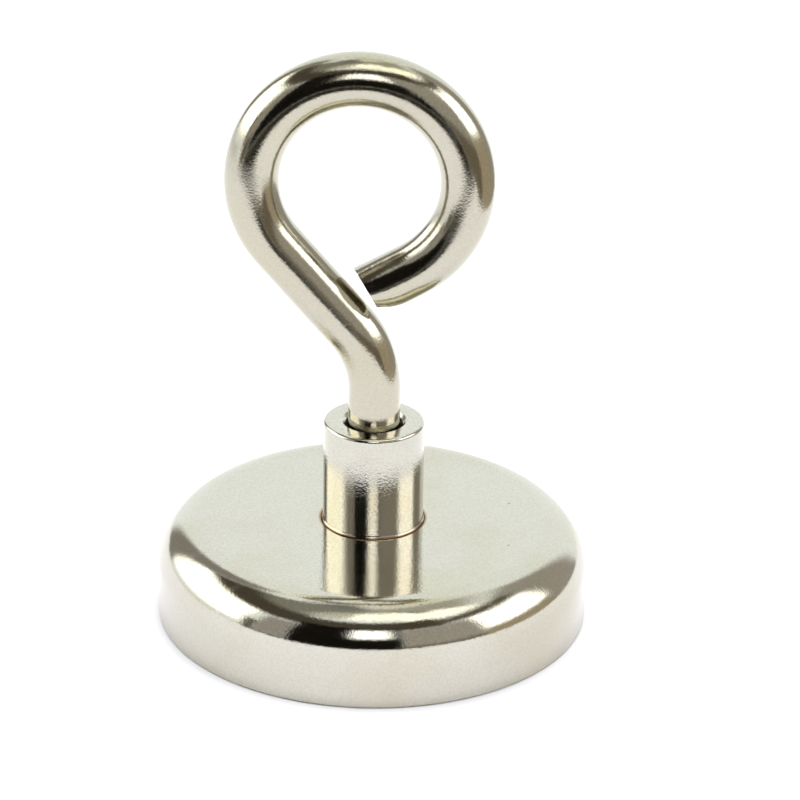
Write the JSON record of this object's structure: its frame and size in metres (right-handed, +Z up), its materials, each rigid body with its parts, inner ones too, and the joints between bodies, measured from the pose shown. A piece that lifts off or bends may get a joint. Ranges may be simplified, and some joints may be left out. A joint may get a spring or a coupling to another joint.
{
  "type": "magnet fishing magnet",
  "caption": "Round plated steel pot magnet with a threaded collar and a screwed-in open eye hook for a retrieval rope.",
  "frame": {"origin": "centre of the pull face, in the plane of the cup's rim, on the axis of cup, collar and thread", "axes": "+Z up from the pull face along the axis of the cup and thread; the eye stands in the XZ plane with its free end on the +X side"},
  "size_m": [0.06, 0.06, 0.0825],
  "materials": {
    "plated_cup": "bright nickel plate, slightly soft",
    "plated_collar": "bright nickel plate over turning marks",
    "plated_rod": "bright nickel plate over drawn rod",
    "plated_magnet": "ground and nickel plated face",
    "sealing_resin": "poured black epoxy",
    "bonding_adhesive": "cured adhesive"
  },
  "bodies": {
    "magnet_body": {"pot_shell": "plated_cup", "threaded_collar": "plated_collar", "magnet_disc": "plated_magnet", "resin_ring": "sealing_resin", "bond_film": "bonding_adhesive"},
    "eye_hook": {"eye_hook": "plated_rod"}
  },
  "joints": [
    {"name": "eye_hook_turn", "type": "hinge", "parent": "magnet_body", "child": "eye_hook", "pos_m": [0, 0, 0.029], "axis": [0, 0, 1], "range_deg": [0, 270]}
  ]
}
